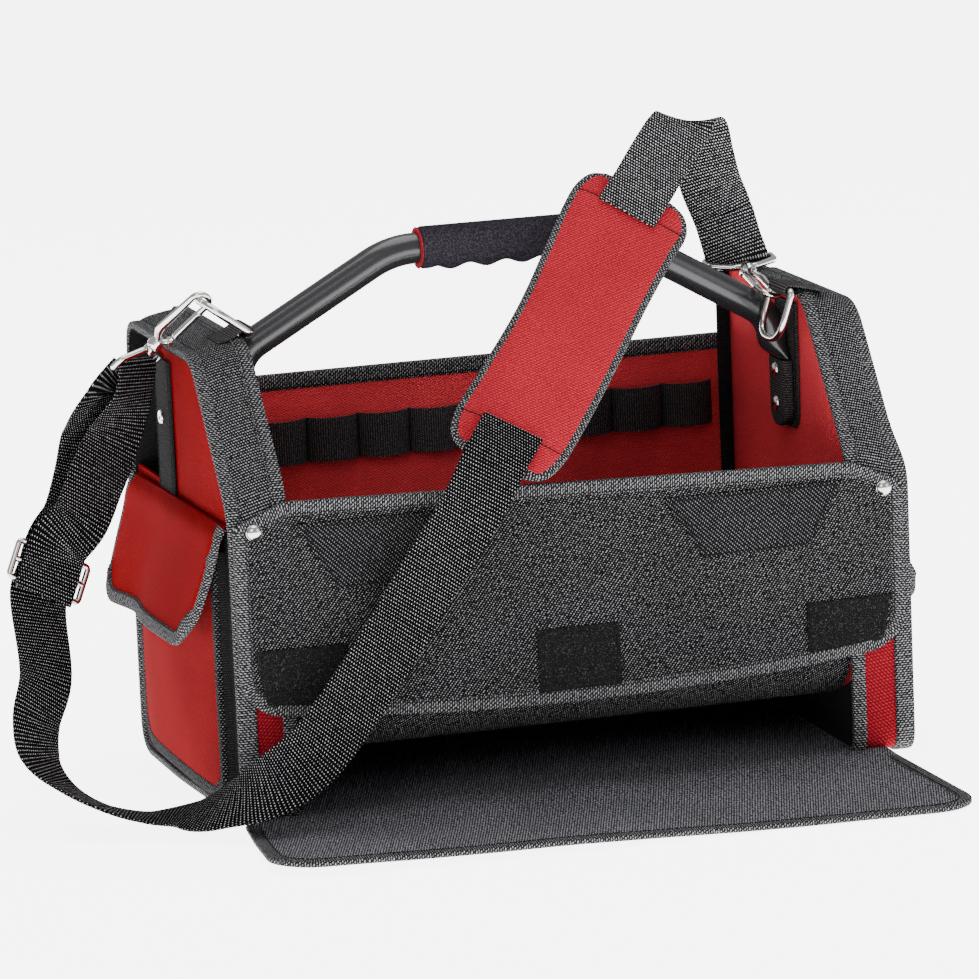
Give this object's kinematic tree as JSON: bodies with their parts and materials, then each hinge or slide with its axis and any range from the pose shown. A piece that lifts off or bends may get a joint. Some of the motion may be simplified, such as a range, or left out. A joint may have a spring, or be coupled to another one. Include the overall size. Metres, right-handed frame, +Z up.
{
  "type": "tool bag",
  "caption": "Open fabric tool bag with a tubular carrying handle, fold-down front flap over a tray slot, tool loops, flapped end pockets and a clip-on padded shoulder strap.",
  "frame": {"origin": "on the floor under the middle of the base panel", "axes": "+X along the bag from its left end to its right as seen from the front flap, +Y from the front to the back, +Z up"},
  "size_m": [0.5874, 0.3916, 0.404],
  "materials": {
    "red_fabric": "woven polyester",
    "grey_fabric": "two-tone woven polyester",
    "black_webbing": "ribbed webbing",
    "hook_tape": "hook-and-loop tape",
    "dark_paint": "semi-gloss powder coat",
    "foam": "closed-cell foam",
    "nickel": "polished nickel plate"
  },
  "bodies": {
    "bag": {"back_binding": "grey_fabric", "back_panel": "red_fabric", "base_panel": "grey_fabric", "compartment_floor": "grey_fabric", "cover_strip_left": "black_webbing", "cover_strip_right": "black_webbing", "d_ring_left": "nickel", "d_ring_right": "nickel", "d_ring_tab_left": "black_webbing", "d_ring_tab_right": "black_webbing", "end_cover_left": "red_fabric", "end_cover_right": "red_fabric", "end_panel_left": "red_fabric", "end_panel_right": "red_fabric", "end_rim_left": "red_fabric", "end_rim_right": "red_fabric", "front_flap": "grey_fabric", "front_flap_binding": "grey_fabric", "front_panel": "grey_fabric", "front_panel_binding": "grey_fabric", "front_rivet_left": "nickel", "front_rivet_right": "nickel", "handle_grip": "foam", "handle_rivet_left_lower": "nickel", "handle_rivet_left_upper": "nickel", "handle_rivet_right_lower": "nickel", "handle_rivet_right_upper": "nickel", "handle_strip_left": "black_webbing", "handle_strip_right": "black_webbing", "handle_tube": "dark_paint", "hook_body_left": "nickel", "hook_body_right": "nickel", "hook_patch_left": "hook_tape", "hook_patch_middle": "hook_tape", "hook_patch_right": "hook_tape", "pocket_face_left": "red_fabric", "pocket_face_right": "red_fabric", "pocket_flap_left": "red_fabric", "pocket_flap_right": "red_fabric", "pocket_gusset_left": "black_webbing", "pocket_gusset_right": "black_webbing", "rim_binding_inner_left": "grey_fabric", "rim_binding_inner_right": "grey_fabric", "rim_binding_outer_left": "grey_fabric", "rim_binding_outer_right": "grey_fabric", "rim_webbing_left": "grey_fabric", "rim_webbing_right": "grey_fabric", "shoulder_pad": "red_fabric", "strap_long": "black_webbing", "strap_short": "black_webbing", "strap_slider": "nickel", "swivel_eye_left": "nickel", "swivel_eye_right": "nickel", "tool_loops": "black_webbing", "twill_patch_left": "grey_fabric", "twill_patch_right": "grey_fabric"},
    "gate_left": {"hook_gate_left": "nickel"},
    "gate_right": {"hook_gate_right": "nickel"}
  },
  "joints": [
    {"name": "gate_left_hinge", "type": "hinge", "parent": "bag", "child": "gate_left", "pos_m": [-0.21918, -0.00449, 0.2923], "axis": [-0.125, -0.827, -0.5482], "range_deg": [0, 18], "stiffness_Nm_per_rad": 0.02, "springref_deg": -17.19},
    {"name": "gate_right_hinge", "type": "hinge", "parent": "bag", "child": "gate_right", "pos_m": [0.16861, 0.0175, 0.29438], "axis": [0.302, -0.1973, 0.9327], "range_deg": [0, 18], "stiffness_Nm_per_rad": 0.02, "springref_deg": -17.19}
  ]
}
